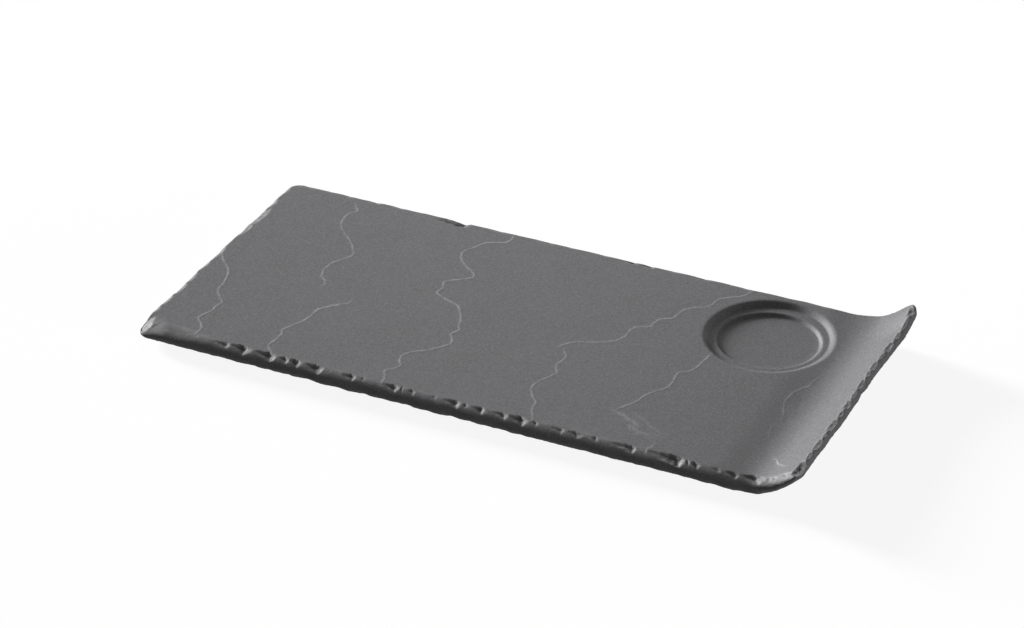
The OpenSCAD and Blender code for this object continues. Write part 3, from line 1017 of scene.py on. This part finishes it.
# Black rubber with a light bloom
gum_black = (0.018, 0.018, 0.019, 1)
gum_bloom = (0.034, 0.034, 0.036, 1)
gum_roughness = (0.62, 0.78)
gum_relief = 0.04 * mm
rubber, gum, gum_in = new_finish("foot_rubber")
gum_in["Specular IOR Level"].default_value = 0.3
place = node(gum, "ShaderNodeTexCoord", out=3)
bloom = noise(gum, place, 480, 3)
gum.links.new(blend(gum, ramp(gum, bloom, 0.35, 0.7), gum_black, gum_bloom), gum_in["Base Color"])
gum.links.new(ramp(gum, bloom, 0.3, 0.7, *gum_roughness), gum_in["Roughness"])
gum_grain = noise(gum, place, 2600)
gum.links.new(node(gum, "ShaderNodeBump", (0.25, gum_relief, None, gum_grain)), gum_in["Normal"])

set_feet, given, feet_keys, feet_end = new_tree("set_feet", {
    "Geometry": "Geometry", "Foot": "Object", "Seed": "Int", "Material": "Material",
})
foot_shape = node(set_feet, "GeometryNodeObjectInfo", (given["Foot"],), out=4)
turn_range = ((0.0, 0.0, 0.0), (0.0, 0.0, 2 * math.pi))
any_turn = node(set_feet, "FunctionNodeRandomValue", (*turn_range, None, given["Seed"]),
                data_type="FLOAT_VECTOR")
on_marks = (given["Geometry"], None, foot_shape, None, None, any_turn)
put = node(set_feet, "GeometryNodeInstanceOnPoints", on_marks)
put = node(set_feet, "GeometryNodeRealizeInstances", (put,))
put = node(set_feet, "GeometryNodeSetShadeSmooth", (put, None, True))
set_feet.links.new(node(set_feet, "GeometryNodeSetMaterial", (put, None, given["Material"])), feet_end)
foot_marks = bpy.data.meshes.new("foot_marks")
foot_marks.from_pydata([(place.x, place.y, foot_low.z) for place in foot_places], [], [])
feet = worked("feet", foot_marks, set_feet, feet_keys, {"Foot": one_foot, "Seed": 3, "Material": rubber})
bpy.data.objects.remove(one_foot)
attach(feet, "root")
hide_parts(*foot_nodes)

# Four discs of adhesive film
# Thin grey double-sided film, die-cut to the feet, between each foot and the roof of its pocket.
film_grey = (0.30, 0.30, 0.29, 1)
film_pale = (0.42, 0.42, 0.40, 1)
film, tack, tack_in = new_finish("adhesive_film")
tack_in["Roughness"].default_value = 0.5
place = node(tack, "ShaderNodeTexCoord", out=3)
tack.links.new(blend(tack, noise(tack, place, 700), film_grey, film_pale), tack_in["Base Color"])
for name in foot_nodes:
    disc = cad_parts[name.replace("foot", "adhesive")]
    disc.data.materials.clear()
    disc.data.materials.append(film)

# The studio
# A white floor, a low soft key from the plain end, softer light from the back, a low light past the
# lip, and a long lens standing a little to the right of the front.
floor_half = 6.0
floor_corners = [(x * floor_half, y * floor_half, 0) for x, y in ((-1, -1), (1, -1), (1, 1), (-1, 1))]
floor_mesh = bpy.data.meshes.new("floor")
floor_mesh.from_pydata(floor_corners, [], [(0, 1, 2, 3)])
floor = put_in_scene("floor", floor_mesh)


def seen(tree):
    """1 for what the lens sees directly, by reflection or through glass."""
    path = tree.nodes.new("ShaderNodeLightPath").outputs
    direct = calc(tree, "MAXIMUM", path["Is Camera Ray"], path["Is Glossy Ray"])
    return calc(tree, "MAXIMUM", direct, path["Is Transmission Ray"])


# The floor is bright to the lens, dull to the board, and clear from below
white = (1, 1, 1, 1)
floor_lit = (0.13, 0.13, 0.13, 1)
floor_dull = (0.06, 0.06, 0.06, 1)
floor_glow = 0.9
paper = bpy.data.materials.new("floor_paper")
paper.use_nodes = True
sheet = paper.node_tree
sheet.nodes.clear()
lit = node(sheet, "ShaderNodeBsdfDiffuse", (floor_lit,))
glow = node(sheet, "ShaderNodeEmission", (white, floor_glow))
bright = node(sheet, "ShaderNodeAddShader", (lit, glow))
dull = node(sheet, "ShaderNodeBsdfDiffuse", (floor_dull,))
upper = node(sheet, "ShaderNodeMixShader", (seen(sheet), dull, bright))
from_below = sheet.nodes.new("ShaderNodeNewGeometry").outputs["Backfacing"]
clear_below = node(sheet, "ShaderNodeBsdfTransparent")
both = node(sheet, "ShaderNodeMixShader", (from_below, upper, clear_below))
sheet.links.new(both, sheet.nodes.new("ShaderNodeOutputMaterial").inputs["Surface"])
floor_mesh.materials.append(paper)

ambient = 0.036
world = bpy.data.worlds.new("studio")
bpy.context.scene.world = world
world.use_nodes = True
sky = world.node_tree
backdrop = sky.nodes["Background"]
backdrop.inputs["Color"].default_value = white
sky.links.new(ramp(sky, seen(sky), 0, 1, ambient, 1), backdrop.inputs["Strength"])


def sun(name, azimuth, elevation, strength, spread):
    """A distant lamp, which stands at an azimuth from +X towards +Y and an elevation, in degrees."""
    light = bpy.data.lights.new(name, "SUN")
    light.energy = strength
    light.angle = math.radians(spread)
    around, rise = math.radians(azimuth), math.radians(elevation)
    level = math.cos(rise)
    stands = Vector((math.cos(around) * level, math.sin(around) * level, math.sin(rise)))
    put_in_scene(name, light).rotation_euler = stands.to_track_quat("Z", "Y").to_euler()


def panel(name, place, target, size, power):
    """A square lamp near the board, turned to a target."""
    light = bpy.data.lights.new(name, "AREA")
    light.energy = power
    light.size = size
    lamp = put_in_scene(name, light)
    lamp.location = place
    lamp.rotation_euler = (Vector(place) - Vector(target)).to_track_quat("Z", "Y").to_euler()


sun("key", azimuth=164, elevation=15, strength=7.3, spread=14)
sun("lip_light", azimuth=-5, elevation=6, strength=1.25, spread=8)
panel("back_fill", place=(-0.16, 0.34, 0.22), target=(0, 0, 0), size=0.28, power=0.23)

view_azimuth, view_elevation = math.radians(25.135), math.radians(31.135)
view_distance = 1352.9 * mm
view_left, view_up = 6.49 * mm, 4.475 * mm
aim = Vector((-1.171 * mm, 1.5 * mm, top_z))
backward = Vector((math.sin(view_azimuth) * math.cos(view_elevation),
                   -math.cos(view_azimuth) * math.cos(view_elevation), math.sin(view_elevation)))
rightward = Vector((math.cos(view_azimuth), math.sin(view_azimuth), 0))
upward = backward.cross(rightward)
lens = bpy.data.cameras.new("lens")
lens.sensor_width = 36
lens.lens = 112.08
lens.clip_end = 20
camera = put_in_scene("camera", lens)
bpy.context.scene.camera = camera
camera.location = aim + backward * view_distance - rightward * view_left + upward * view_up
camera.rotation_euler = backward.to_track_quat("Z", "Y").to_euler()
bpy.context.scene.view_settings.view_transform = "Standard"
